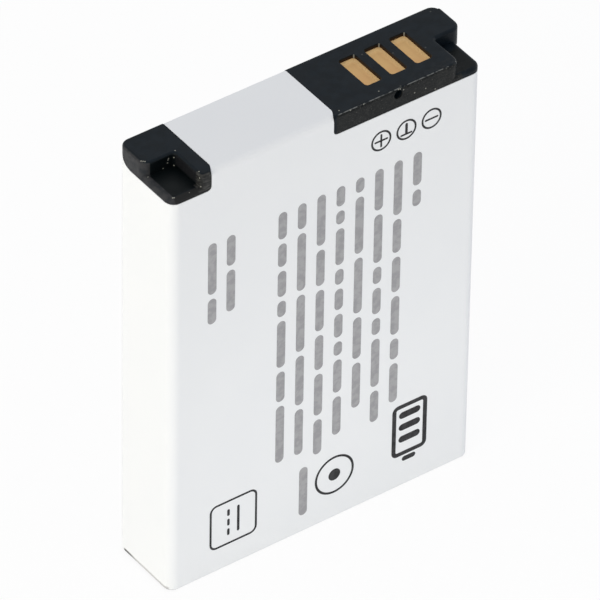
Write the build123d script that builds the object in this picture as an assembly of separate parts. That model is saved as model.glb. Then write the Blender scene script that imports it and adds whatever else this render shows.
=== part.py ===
from build123d import *
import os

# Camera battery, in millimetres. It stands upright with its contacts on top.
# X runs along the width, Y from the printed front to the plain back, Z up.
# The origin is the middle of the bottom face of the body, without the key tab.

# Outer form
body_width = 30.9
body_thickness = 7.4
body_height = 43.0
corner_radius = 0.9
end_edge_radius = 0.25

# White film label
label_film = 0.1
film_front_bend = 0.6
film_back_bend = 0.35
bare_height = 1.85
contact_zone_length = 14.47
corner_zone_length = 4.29
film_corner_radius = 0.4
cut_drift = 0.36
cut_lead = 0.8
cut_turn_radius = 0.6
back_bare_height = 0.4
rise_setback = 0.45
rise_radius = 1.4
film_gap = 0.05
side_film_gap = 0.12
seam_gap = 0.08
seam_setback = 3.6

# Case walls
case_wall = 0.6
floor_wall = 0.6
contact_wall = 0.4
bay_wall = 0.7
ledge_wall = 0.8

# Corner notches and key tab
ledge_drop = 1.3
left_ledge_radius = 0.5
right_ledge_radius = 0.3
left_notch_length = 2.95
right_notch_length = 2.17
notch_reach = 3.75
notch_corner_radius = 0.3
notch_end_radius = 0.8
left_post_radius = 0.45
lip_end_radius = 0.9
tab_stand = 0.7
tab_corner_radius = 0.9
cover_step = 0.1

# Round hole in the front lip
lip_hole_diameter = 0.85
lip_hole_depth = 0.5
lip_hole_drop = 0.55
lip_hole_setback = 8.47

# Contacts and their windows
window_width = 1.68
window_length = 4.0
window_pitch = 2.53
window_corner_radius = 0.3
window_setback = 6.98
window_offset = 0.12
contact_thickness = 0.3
contact_flange = 0.22

# Board, its holder and what hangs under it
board_thickness = 0.6
board_clearance = 0.1
holder_height = 1.45
holder_rail = 0.5
part_gap = 0.4
protection_chip_size = (1.6, 2.9, 1.1)
switch_chip_size = (2.0, 3.0, 0.8)
sense_resistor_size = (1.6, 0.8, 0.45)
filter_capacitor_size = (1.6, 0.8, 0.8)
gate_resistor_size = (1.0, 0.5, 0.35)
thermistor_size = (1.0, 0.5, 0.5)
chip_row_offset = 1.0

# Straps and thermal fuse
strap_thickness = 0.15
strap_width = 2.0
plus_strap_length = 2.2
fuse_length = 3.6
fuse_width = 2.6
fuse_setback = 0.6
fuse_tab_length = 2.8

# Cell and its terminal
cell_corner_radius = 0.6
cell_base_radius = 0.4
gasket_diameter = 3.2
gasket_thickness = 0.2
rivet_head_diameter = 2.2
rivet_head_height = 0.35
rivet_shank_diameter = 1.2
insulator_thickness = 0.15
insulator_margin = 0.3
insulator_clearance = 0.1

# Tapes and foam pad
tape_thickness = 0.1
tape_margin = 3.0
pad_thickness = 0.3
pad_margin = 0.8

# Places worked out from the sizes
half_width = body_width / 2
half_thickness = body_thickness / 2
ledge_level = body_height - ledge_drop
notch_back = -half_thickness + notch_reach
left_notch_edge = -half_width + left_notch_length
right_notch_edge = half_width - right_notch_length
inner_half_width = half_width - label_film - case_wall
inner_half_thickness = half_thickness - label_film - case_wall
window_middle = half_width - window_setback
contact_top = body_height - contact_wall
board_top = contact_top - contact_thickness
board_base = board_top - board_thickness
bay_left = left_notch_edge + bay_wall
bay_right = right_notch_edge - bay_wall
cell_bay_top = ledge_level - ledge_wall
cell_base = floor_wall + pad_thickness
holder_base = board_base - holder_height
lid_level = holder_base - insulator_thickness
cell_half_thickness = inner_half_thickness - tape_thickness
rivet_top = lid_level + gasket_thickness + rivet_head_height
beyond = body_thickness


def block(low, high):
    """Box between two opposite corners."""
    sizes = [b - a for a, b in zip(low, high)]
    middle = [(a + b) / 2 for a, b in zip(low, high)]
    return Pos(*middle) * Box(*sizes)


def upright_block(inset, top):
    """Block with the pack's plan and its rounded base, drawn in by inset, up to a level."""
    x = half_width - inset
    y = half_thickness - inset
    form = block((-x, -y, inset), (x, y, top))
    form = fillet(form.edges().filter_by(Axis.Z), corner_radius - inset)
    return fillet(form.edges().group_by(Axis.Z)[0], end_edge_radius - inset)


def film_form(inset):
    """The film's outer form, drawn in by inset on every face, with its bends over the top edges."""
    y = half_thickness - inset
    top = body_height - inset
    profile = Pos(0, top / 2) * Rectangle(2 * y, top)
    for side, bend in ((-1, film_front_bend), (1, film_back_bend)):
        profile = fillet(corner_at(profile, side * y, top), bend - inset)
    return upright_block(inset, top) & extrude(Plane.YZ * profile, body_width, both=True)


def bare_zone(edge_x, far_x, film_top):
    """Space above the film's upper edge, from a cut across the top out past one side.

    The cut runs straight over the top and drifts a little to the left where it comes down the front.
    """
    drift_start = -half_thickness + cut_lead
    front_x = edge_x - cut_drift
    cut = FilletPolyline(
        (edge_x, beyond),
        (edge_x, drift_start),
        (front_x, -half_thickness + label_film),
        (front_x, -beyond),
        radius=cut_turn_radius,
    )
    rest = Polyline((front_x, -beyond), (far_x, -beyond), (far_x, beyond), (edge_x, beyond))
    outline = make_face(cut.edges() + rest.edges())
    zone = extrude(Pos(0, 0, film_top) * outline, bare_height + beyond)
    low_rim = zone.edges().group_by(Axis.Z)[0]
    cut_edges = low_rim.filter_by(lambda e: front_x - cut_drift < e.center().X < edge_x + cut_drift)
    return fillet(cut_edges, film_corner_radius)


def back_rise(film_top, gap):
    """Space behind the bare corner, where the film stands higher, with a round rise from the left side."""
    far_x = half_width + beyond
    back_top = body_height - back_bare_height - gap
    rise_y = half_thickness - rise_setback + gap
    beside = block((-3 * far_x, -3 * beyond, film_top), (3 * far_x, rise_y, body_height + 3 * beyond))
    low_edge = beside.edges().filter_by(Axis.X).group_by(Axis.Z)[0].sort_by(Axis.Y)[-1]
    behind = block((-2 * far_x, -2 * beyond, -beyond), (0, 2 * beyond, back_top))
    return behind - fillet(low_edge, rise_radius + gap)


def film_zone(gap):
    """Space over the front, back, sides, bottom and mid-top, drawn back by gap at the film's cuts."""
    film_top = body_height - bare_height - gap
    far_x = half_width + beyond
    zone = block((-far_x, -beyond, -beyond), (far_x, beyond, body_height + beyond))
    zone -= bare_zone(half_width - contact_zone_length - gap, 2 * far_x, film_top)
    zone -= bare_zone(-half_width + corner_zone_length + gap, -2 * far_x, film_top) - back_rise(film_top, gap)
    flap_end = half_width - corner_radius
    for side in (-1, 1):
        ends = sorted((side * flap_end, side * 2 * far_x))
        zone -= block((ends[0], -2 * beyond, -2 * beyond), (ends[1], 2 * beyond, side_film_gap))
    return zone


def wrap_label():
    """White film in its recess, with a butt seam down the back."""
    seam_x = half_width - seam_setback
    seam_low = (seam_x - seam_gap / 2, half_thickness - end_edge_radius, -beyond)
    seam_high = (seam_x + seam_gap / 2, beyond, body_height + beyond)
    film = (film_form(0) - film_form(label_film)) & film_zone(film_gap)
    return film - block(seam_low, seam_high)


def corner_at(outline, x, y):
    """The corner of an outline nearest to a point."""
    return outline.vertices().sort_by_distance((x, y, 0))[0]


def end_outline(tab_reach):
    """Plan of the contact end above the ledges, with both notches and a key tab of the given reach."""
    outline = Pos(tab_reach / 2, 0) * RectangleRounded(body_width + tab_reach, body_thickness, corner_radius)
    cut_depth = notch_reach + beyond
    for low_x, high_x in ((-half_width - beyond, left_notch_edge), (right_notch_edge, half_width + beyond)):
        cut = Rectangle(high_x - low_x, cut_depth)
        outline -= Pos((low_x + high_x) / 2, notch_back - cut_depth / 2) * cut
    roundings = (
        (-half_width, notch_back, notch_end_radius),
        (left_notch_edge, notch_back, notch_corner_radius),
        (left_notch_edge, -half_thickness, left_post_radius),
        (right_notch_edge, -half_thickness, lip_end_radius),
        (right_notch_edge, notch_back, notch_corner_radius),
        (half_width + tab_reach, notch_back, tab_corner_radius),
    )
    for x, y, radius in roundings:
        outline = fillet(corner_at(outline, x, y), radius)
    return outline


def contact_end(tab_reach):
    """The notched top of the case, down to the film's upper edge."""
    low = body_height - bare_height
    end = extrude(Pos(0, 0, low) * end_outline(tab_reach), bare_height)
    return fillet(end.edges().group_by(Axis.Z)[-1], end_edge_radius)


def window_centres():
    """Middle of each contact window, from plus to minus."""
    return [(window_middle + step * window_pitch, window_offset) for step in (-1, 0, 1)]


def contact_plate():
    """Flat contact, wider than its window so that the top wall keeps it in."""
    width = window_width + 2 * contact_flange
    length = window_length + 2 * contact_flange
    return Box(width, length, contact_thickness)


def contacts():
    """The three plates where they lie, in pockets under the top wall."""
    level = contact_top - contact_thickness / 2
    return [Pos(x, y, level) * contact_plate() for x, y in window_centres()]


def ledge_block(edge_radius):
    """The lower body up to the ledges, with its upper edge rounded."""
    body = upright_block(0, ledge_level)
    return fillet(body.edges().group_by(Axis.Z)[-1], edge_radius)


def case_shell(tab_reach):
    """Black outer form with a key tab of the given reach, before it is hollowed and split."""
    far_x = half_width + beyond
    left_part = block((-far_x, -beyond, -beyond), (window_middle, beyond, body_height))
    right_part = block((window_middle, -beyond, -beyond), (far_x, beyond, body_height))
    body = ledge_block(left_ledge_radius) & left_part
    body += ledge_block(right_ledge_radius) & right_part
    return body + contact_end(tab_reach) - (film_zone(0) - film_form(label_film))


def case_body():
    """Tub with its cell bay, board bay, contact pockets, windows and the hole in its lip."""
    body = case_shell(tab_stand) & block(
        (-half_width - beyond, -beyond, -beyond),
        (half_width + beyond, inner_half_thickness, body_height + beyond),
    )
    body -= block(
        (-inner_half_width, -inner_half_thickness, floor_wall),
        (inner_half_width, inner_half_thickness, cell_bay_top),
    )
    body -= block(
        (bay_left, -inner_half_thickness, floor_wall),
        (bay_right, inner_half_thickness, board_top),
    )
    for plate in contacts():
        body -= plate
    opening = extrude(RectangleRounded(window_width, window_length, window_corner_radius), beyond)
    for x, y in window_centres():
        body -= Pos(x, y, board_top) * opening
    hole = Rot(90, 0, 0) * Cylinder(lip_hole_diameter / 2, 2 * lip_hole_depth)
    return body - Pos(half_width - lip_hole_setback, -half_thickness, body_height - lip_hole_drop) * hole


def rear_cover():
    """Plate that closes the tub from behind, a step short of the tub at the key tab."""
    return case_shell(tab_stand - cover_step) & block(
        (-half_width - beyond, inner_half_thickness, -beyond),
        (half_width + beyond, beyond, body_height + beyond),
    )


def battery_cell():
    """Sealed prismatic can, with its lid and fill."""
    low = (-inner_half_width, -cell_half_thickness, cell_base)
    high = (inner_half_width, cell_half_thickness, lid_level)
    can = block(low, high)
    can = fillet(can.edges().filter_by(Axis.Z), cell_corner_radius)
    return fillet(can.edges().group_by(Axis.Z)[0], cell_base_radius)


def terminal_gasket():
    """Ring that keeps the negative terminal clear of the lid."""
    ring = Cylinder(gasket_diameter / 2, gasket_thickness)
    ring -= Cylinder(rivet_shank_diameter / 2, gasket_thickness)
    return Pos(0, 0, lid_level + gasket_thickness / 2) * ring


def terminal_rivet():
    """Negative terminal: a head on the gasket and a shank through it."""
    head = Pos(0, 0, rivet_top - rivet_head_height / 2) * Cylinder(rivet_head_diameter / 2, rivet_head_height)
    shank = Pos(0, 0, lid_level + gasket_thickness / 2) * Cylinder(rivet_shank_diameter / 2, gasket_thickness)
    return head + shank


def chip_edge():
    """Left edge of the part of the board that stays clear of the terminal."""
    return -gasket_diameter / 2 - part_gap


def plus_strap_span():
    """Left and right ends of the plus strap, which starts beside the holder's left rail."""
    left = bay_left + holder_rail + part_gap
    return left, left + plus_strap_length


def lid_insulator():
    """Fibre sheet on the lid, open around the terminal and the plus strap's foot."""
    x = inner_half_width - insulator_margin
    y = cell_half_thickness - insulator_margin
    sheet = block((-x, -y, lid_level), (x, y, holder_base))
    middle = lid_level + insulator_thickness / 2
    sheet -= Pos(0, 0, middle) * Cylinder(gasket_diameter / 2 + insulator_clearance, insulator_thickness)
    left, right = plus_strap_span()
    half = strap_width / 2 + insulator_clearance
    low = (left - insulator_clearance, -half, lid_level)
    high = (right + insulator_clearance, half, holder_base)
    return sheet - block(low, high)


def board_holder():
    """Plastic frame between the lid's insulator and the board."""
    low = (bay_left, -inner_half_thickness, holder_base)
    high = (bay_right, inner_half_thickness, board_base)
    inner_low = (bay_left + holder_rail, -inner_half_thickness + holder_rail, holder_base)
    inner_high = (bay_right - holder_rail, inner_half_thickness - holder_rail, board_base)
    return block(low, high) - block(inner_low, inner_high)


def protection_board():
    """Circuit board under the top wall."""
    x0 = bay_left + board_clearance
    x1 = bay_right - board_clearance
    y = inner_half_thickness - board_clearance
    return block((x0, -y, board_base), (x1, y, board_top))


def under_board(size, left, middle_y):
    """Component of the given size that hangs under the board from its left edge."""
    return Pos(left + size[0] / 2, middle_y, board_base - size[2] / 2) * Box(*size)


def plus_strap():
    """Nickel strip folded from the lid up to the board."""
    left, right = plus_strap_span()
    half = strap_width / 2
    foot = block((left, -half, lid_level), (right, half, lid_level + strap_thickness))
    riser = block((right - strap_thickness, -half, lid_level), (right, half, board_base))
    head = block((left, -half, board_base - strap_thickness), (right, half, board_base))
    return foot + riser + head


def fuse_left():
    """Left end of the thermal fuse."""
    return gasket_diameter / 2 + fuse_setback


def minus_strap():
    """Nickel strip from the rivet to the underside of the fuse."""
    half = strap_width / 2
    low = (-rivet_head_diameter / 2, -half, rivet_top)
    return block(low, (fuse_left() + fuse_length, half, rivet_top + strap_thickness))


def thermal_fuse():
    """Flat thermal cut-off between the two strips of the minus side."""
    half = fuse_width / 2
    low = (fuse_left(), -half, rivet_top + strap_thickness)
    return block(low, (fuse_left() + fuse_length, half, board_base - strap_thickness))


def fuse_tab():
    """Nickel strip from the top of the fuse to the board."""
    half = strap_width / 2
    low = (fuse_left(), -half, board_base - strap_thickness)
    return block(low, (fuse_left() + fuse_tab_length, half, board_base))


def tape(inner_y, outer_y):
    """Adhesive sheet between the cell and a case wall."""
    x = inner_half_width - tape_margin
    low_y, high_y = sorted((inner_y, outer_y))
    return block((-x, low_y, cell_base + tape_margin), (x, high_y, lid_level - tape_margin))


def bottom_pad():
    """Foam pad between the cell and the floor of the case."""
    x = inner_half_width - pad_margin
    y = inner_half_thickness - pad_margin
    return block((-x, -y, floor_wall), (x, y, cell_base))


def board_parts():
    """The components under the board, by name."""
    protection_left = chip_edge() - protection_chip_size[0]
    switch_left = protection_left - part_gap - switch_chip_size[0]
    holder_edge = bay_right - holder_rail - part_gap
    second_column = holder_edge - max(gate_resistor_size[0], thermistor_size[0])
    first_column = second_column - part_gap - max(sense_resistor_size[0], filter_capacitor_size[0])
    return {
        "protection_chip": under_board(protection_chip_size, protection_left, 0),
        "switch_chip": under_board(switch_chip_size, switch_left, 0),
        "sense_resistor": under_board(sense_resistor_size, first_column, -chip_row_offset),
        "filter_capacitor": under_board(filter_capacitor_size, first_column, chip_row_offset),
        "gate_resistor": under_board(gate_resistor_size, second_column, -chip_row_offset),
        "thermistor": under_board(thermistor_size, second_column, chip_row_offset),
    }


def make_nodes():
    """Every piece of the pack, by name."""
    plus, sense, minus = contacts()
    nodes = {
        "case_body": case_body(),
        "rear_cover": rear_cover(),
        "wrap_label": wrap_label(),
        "contact_plus": plus,
        "contact_sense": sense,
        "contact_minus": minus,
        "battery_cell": battery_cell(),
        "terminal_gasket": terminal_gasket(),
        "terminal_rivet": terminal_rivet(),
        "lid_insulator": lid_insulator(),
        "board_holder": board_holder(),
        "protection_board": protection_board(),
        "plus_strap": plus_strap(),
        "minus_strap": minus_strap(),
        "thermal_fuse": thermal_fuse(),
        "fuse_tab": fuse_tab(),
        "front_tape": tape(-cell_half_thickness, -inner_half_thickness),
        "rear_tape": tape(cell_half_thickness, inner_half_thickness),
        "bottom_pad": bottom_pad(),
    }
    nodes.update(board_parts())
    return nodes


def main():
    os.makedirs("parts", exist_ok=True)
    for name, shape in make_nodes().items():
        export_step(shape, f"parts/{name}.step")


if __name__ == "__main__":
    main()
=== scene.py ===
import math
import random

import bmesh
import bpy
from bpy.props import FloatProperty, FloatVectorProperty, IntProperty, PointerProperty
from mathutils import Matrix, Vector


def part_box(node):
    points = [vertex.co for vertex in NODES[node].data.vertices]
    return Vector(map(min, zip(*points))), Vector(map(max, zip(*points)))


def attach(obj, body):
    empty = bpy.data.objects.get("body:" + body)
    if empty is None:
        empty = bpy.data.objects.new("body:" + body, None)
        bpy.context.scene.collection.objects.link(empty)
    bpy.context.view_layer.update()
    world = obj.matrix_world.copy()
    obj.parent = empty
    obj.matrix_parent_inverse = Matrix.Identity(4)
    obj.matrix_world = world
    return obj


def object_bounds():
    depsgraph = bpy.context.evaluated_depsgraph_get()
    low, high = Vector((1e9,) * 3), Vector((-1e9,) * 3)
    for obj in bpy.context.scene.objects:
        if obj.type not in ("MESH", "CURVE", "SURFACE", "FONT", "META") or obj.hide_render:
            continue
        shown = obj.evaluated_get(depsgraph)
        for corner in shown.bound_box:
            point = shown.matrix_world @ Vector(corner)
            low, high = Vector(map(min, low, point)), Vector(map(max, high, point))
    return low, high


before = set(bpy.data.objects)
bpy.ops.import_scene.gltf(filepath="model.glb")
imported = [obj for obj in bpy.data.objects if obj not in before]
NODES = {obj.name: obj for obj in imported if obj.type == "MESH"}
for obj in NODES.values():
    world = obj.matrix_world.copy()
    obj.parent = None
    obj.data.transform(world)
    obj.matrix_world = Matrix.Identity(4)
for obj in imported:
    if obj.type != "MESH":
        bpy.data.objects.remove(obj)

bl_info = {
    "name": "Camera battery",
    "version": (1, 0, 0),
    "blender": (4, 5, 0),
    "location": "3D View > Sidebar > Battery",
    "description": "Finishes a flat camera battery: moulded case, white film, plated contacts and print",
    "category": "Object",
}

CAD_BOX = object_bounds()
MM = 0.001
MIDDLE = (CAD_BOX[0] + CAD_BOX[1]) / 2
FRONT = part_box("wrap_label")[0].y
TOP = CAD_BOX[1].z
CONTACTS = ("contact_plus", "contact_sense", "contact_minus")
WHITE = (1.0, 1.0, 1.0)

# Places of crumbs on the black case, in millimetres; those by the left notch include painted highlights on
# its edges and in its inner corner
NOTCH_CRUMBS_AND_GLINTS = (
    (-12.34, 0.16, 43.0), (-12.59, -0.04, 42.52), (-13.06, 0.05, 42.58), (-13.11, 0.05, 42.45),
    (-13.15, 0.05, 42.17), (-13.59, 0.05, 41.8), (-12.59, -0.04, 41.72), (-15.3, 0.66, 42.95),
    (-15.2, 0.53, 42.96), (-15.1, 0.41, 42.97),
)
POST_CRUMBS = (
    (-12.3, -3.1, 42.97), (-12.45, -3.4, 42.6), (-12.4, -3.5, 41.75), (-13.5, -3.5, 41.66),
    (-14.98, -3.27, 41.63), (-14.88, -3.32, 41.63), (-15.1, -0.02, 41.64),
)
LIP_CRUMBS = (
    (5.53, -2.99, 43.0), (1.43, -3.18, 43.0), (2.24, -3.62, 42.94), (3.57, -3.62, 42.96),
    (7.2, -3.65, 42.9), (7.5, -3.7, 42.72), (8.63, -3.7, 41.89), (10.71, -3.7, 41.34),
    (9.74, -3.7, 41.84), (7.02, -3.66, 42.93), (13.0, -3.37, 42.97), (13.06, -3.44, 42.8),
)
FAINT_CRUMBS = (
    (12.01, -0.55, 43.0), (9.41, 0.37, 43.0), (7.24, 1.65, 43.0), (15.16, 3.04, 43.0), (7.36, -3.45, 43.0),
)

# Boxes round the surfaces of the black case that differ in tone, in millimetres
# Front edge of the lip, worn by rubbing and painted lighter as a highlight
LIP_EDGE = ((1.2, -3.9, 42.5), (12.0, -3.3, 43.2))
LIP_FRONT = ((0.9, -3.8, 41.0), (13.4, -3.6, 42.9))
LIP_SCUFF = ((9.5, -3.8, 41.4), (13.4, -3.5, 42.9))
POST_FRONT = ((-12.7, -3.8, 41.4), (-11.2, -3.0, 42.9))
# Wall of the left notch that faces the left, painted lighter for the light that falls on it
POST_WALL = ((-12.7, -3.0, 41.9), (-12.45, -0.2, 42.8))
# Faces of the left end towards the left, painted lighter for the light that falls on them
LEFT_SIDE = ((-15.6, -3.9, 41.0), (-15.3, 3.9, 42.9))
LEFT_RIM = ((-15.6, -3.9, 41.0), (-15.0, 0.3, 41.75))
LEFT_CORNER = ((-15.6, 0.0, 41.6), (-14.9, 0.6, 42.85))
# Front rim of the left ledge, painted lighter as a highlight on its rounded edge
FRONT_RIM = ((-15.0, -3.9, 41.0), (-11.1, -3.35, 41.75))
# Floors of the notches, painted darker as shade
LEFT_FLOOR = ((-14.9, -3.15, 41.6), (-12.5, 0.15, 42.8))
RIGHT_FLOOR = ((13.2, -3.3, 41.6), (15.0, -0.9, 41.75))

# Boxes round the painted contact shadow on the film along the foot of the left side, in millimetres
FOOT = ((-15.6, -3.3, -0.1), (-15.0, 2.7, 0.32))
FOOT_END = ((-15.6, 2.3, -0.1), (-15.0, 3.8, 0.5))

# Contacts: flange under the edge of the window, width of the dull far edges, which are painted lighter
# against the shade of the walls, and how softly they fade
FLANGE = 0.22 * MM
DULL_X = 0.65 * MM
DULL_Y = 0.82 * MM
DULL_FADE = 0.75 * MM

# Contact windows: height of the walls that carry a painted reflection of the gold, and how softly that fades
REFLECTION_HEIGHT = 0.05 * MM
REFLECTION_FADE = 0.3 * MM

# Painted highlight, a bright line in the far corner of a contact window: half its width, its place and its
# soft edge
GLINT_HALF = 0.03 * MM
GLINT_SETBACK = 0.09 * MM
GLINT_SOFT = 0.02 * MM

# Word bars in millimetres: reach of the long lines, place and reach of the short ones, ends of the lone bar
LONG_LINES = (5.6, 25.7, 26.9, 24.4, 26.4, 27.6, 26.7, 26.6)
SHORT_LINES = ((-9.5, 7.9), (-11.35, 8.4))
LONE_BAR = ((-1.9, 7.1), (-1.9, 1.9))

# Share of a spot's radius over which it is full
SPOT_CORE = 0.6

# Straight pieces in a printed circle, a stroke's round end and a frame's corner
CIRCLE_STEPS = 64
END_STEPS = 8
CORNER_STEPS = 6

# Half the width of the floor in metres, and its cells each way
FLOOR_REACH = 3.0
FLOOR_CELLS = 8


def length(name, description, millimetres):
    """A size of the part, set in millimetres and kept in metres."""
    return FloatProperty(
        name=name, description=description, default=millimetres * MM, precision=5,
        unit="LENGTH", subtype="DISTANCE"
    )


def position(name, description, *millimetres):
    """A place along two or three axes, set in millimetres and kept in metres."""
    return FloatVectorProperty(
        name=name, description=description, default=tuple(c * MM for c in millimetres), size=len(millimetres),
        precision=6, unit="LENGTH", subtype="TRANSLATION"
    )


def direction(name, description, x, y, z):
    """A direction away from the middle of the battery."""
    return FloatVectorProperty(name=name, description=description, default=(x, y, z), subtype="DIRECTION")


def colour(name, description, red, green, blue):
    """A linear colour that a user can pick."""
    return FloatVectorProperty(
        name=name, description=description, default=(red, green, blue), size=3, min=0, max=1, subtype="COLOR"
    )


def factor(name, description, share):
    """A strength from nought to one."""
    return FloatProperty(name=name, description=description, default=share, min=0, max=1, subtype="FACTOR")


def watts(name, description, power):
    """The power of a lamp."""
    return FloatProperty(name=name, description=description, default=power, min=0, precision=4, unit="POWER")


class BatteryFinish(bpy.types.PropertyGroup):
    """Colours of what shows, and of what lies inside the case."""

    case: colour("Case", "Moulded black plastic", 0.0036, 0.0064, 0.0096)
    case_gloss: colour("Case gloss", "Tint of what the black plastic reflects", 0.92, 0.98, 1.0)
    # Painted shade on the floors of the notches
    case_floor_shade: colour("Case floors", "Black plastic on the floors of the notches", 0.0018, 0.0032, 0.0038)
    # Lighter front of the left post, and a painted highlight on the front rim of the left ledge
    case_post_and_rim_highlight: colour("Case walls", "Black plastic on the left post and its rim", 0.0160, 0.0160, 0.0158)
    # Painted light on the wall of the left notch, which faces the light from the left
    case_notch_light: colour("Case notch", "Black plastic on the wall of the left notch", 0.0094, 0.0098, 0.0112)
    # Painted light on the faces towards the left, with a mottle of handling wear
    case_side_light_and_scuffs: colour("Case side", "Black plastic on the left, dulled by handling", 0.034, 0.0344, 0.0365)
    case_lip: colour("Case lip", "Black plastic on the front of the lip", 0.0073, 0.0080, 0.0086)
    # Front edge worn by rubbing and painted lighter as a highlight
    case_worn_and_highlit: colour("Case edges", "Black plastic where its front edge is rubbed", 0.135, 0.14, 0.137)
    case_scuffed: colour("Case scuffs", "Black plastic where it is scuffed", 0.050, 0.050, 0.047)
    # Painted reflection of the gold on the walls of the windows
    case_gold_reflection: colour("Window walls", "Black plastic warmed by the gold beside it", 0.028, 0.011, 0.003)
    # The dust colour also paints the glints, which are painted highlights
    dust: colour("Dust", "Specks that sit on the black plastic", 0.24, 0.24, 0.21)
    film: colour("Film", "White wrap label", 0.794, 0.810, 0.822)
    film_cool: colour("Film, cooler", "White wrap label in its cooler patches", 0.786, 0.803, 0.817)
    # Painted contact shadow along the foot of the left side, darkest at its far end
    film_foot_shadow: colour("Film foot", "White film where its lower edge is greyed", 0.52, 0.52, 0.525)
    film_foot_shadow_dark: colour("Film foot, dark", "White film where its lower edge is darkest", 0.10, 0.10, 0.105)
    ink: colour("Ink", "Dark grey print", 0.015, 0.015, 0.017)
    ink_thin: colour("Ink, thin", "Print where the ink is thinner", 0.03, 0.03, 0.033)
    tint: colour("Tint", "Grey print of the word bars", 0.30, 0.30, 0.31)
    tint_thin: colour("Tint, thin", "Grey print where it is thinner", 0.36, 0.36, 0.37)
    gold: colour("Gold", "Plated contacts", 0.610, 0.408, 0.190)
    gold_rosy: colour("Gold, rosy", "Plated contacts where the plating is thin", 0.597, 0.377, 0.178)
    # Painted light: the far edges of the contacts are painted lighter against the shade of the window walls
    gold_edge_light: colour("Gold edges", "Plated contacts along their dull far edges", 1.0, 0.665, 0.295)
    aluminium: colour("Aluminium", "Drawn can of the cell", 0.72, 0.73, 0.74)
    nickel: colour("Nickel", "Strips and terminal", 0.66, 0.63, 0.58)
    board: colour("Board", "Solder mask", 0.02, 0.13, 0.06)
    board_track: colour("Board tracks", "Solder mask over copper", 0.05, 0.24, 0.10)
    epoxy: colour("Epoxy", "Moulded chips", 0.02, 0.02, 0.021)
    ceramic: colour("Ceramic", "Fired small components", 0.45, 0.32, 0.20)
    fibre: colour("Fibre sheet", "Pressed insulator", 0.45, 0.48, 0.30)
    holder: colour("Holder", "Moulded frame under the board", 0.04, 0.04, 0.045)
    gasket: colour("Gasket", "Pale ring round the terminal", 0.75, 0.75, 0.72)
    tape: colour("Tape", "Adhesive sheets beside the cell", 0.80, 0.78, 0.70)
    foam: colour("Foam", "Pad under the cell", 0.2, 0.2, 0.21)


class BatteryWear(bpy.types.PropertyGroup):
    """Sizes and strengths of the wear and dirt on the black plastic, and of the painted glints among its
    crumbs.
    """

    # Radius of each crumb, and of the painted glints among the crumbs by the left notch
    crumb: length("Crumb", "Radius of a crumb", 0.075)
    faint_crumb: length("Faint crumb", "Radius of a crumb that hardly shows", 0.1)
    speck_spacing: length("Speck spacing", "Distance between specks of dust on the lip", 0.36)
    faint: factor("Faint crumbs", "Strength of the crumbs that hardly show", 0.18)
    scuffs: factor("Lip scuffs", "Strength of the scuffs near the right end of the lip", 0.18)
    smears: factor("Lip smears", "Strength of the smears on the lip", 0.17)
    grime: factor("Lip grime", "Strength of the fine grime on the lip", 0.2)
    specks: factor("Lip dust", "Strength of the specks of dust on the lip", 0.22)


class BatteryPrint(bpy.types.PropertyGroup):
    """Sizes and places of the terminal marks and the word bars on the front of the film."""

    ink_height: length("Ink height", "How far the ink stands off the film", 0.012)
    mark_diameter: length("Mark diameter", "Outer diameter of a terminal mark's ring", 2.02)
    mark_stroke: length("Mark stroke", "Line width of the terminal marks", 0.18)
    mark_reach: length("Mark reach", "Reach of a mark's strokes from its centre", 0.68)
    mark_level: length("Mark level", "Height of the terminal marks' centres", 38.43)
    mark_shift: length("Mark shift", "Place of a mark along X from its contact's centre", -0.58)
    sense_stroke: length("Sense stroke", "Line width of the upright of the middle mark", 0.25)
    sense_reach: length("Sense reach", "Reach of the middle mark's foot from its centre", 0.6)
    sense_drop: length("Sense drop", "How far the middle mark's foot lies below its centre", 0.45)
    bar_width: length("Bar width", "Width of a word bar", 0.85)
    line_top: length("Line top", "Height at which the lines of bars start", 35.5)
    line_pitch: length("Line pitch", "Distance between lines", 1.93)
    first_line: length("First line", "Place along X of the first line", 9.12)
    word_gap: length("Word gap", "Gap between two word bars", 0.5)
    shortest_word: length("Shortest word", "Length of the shortest word bar", 1.3)
    longest_word: length("Longest word", "Length of the longest word bar", 6.0)
    seed: IntProperty(name="Seed", description="Chooses the lengths of the word bars", default=11, min=0)


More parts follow.
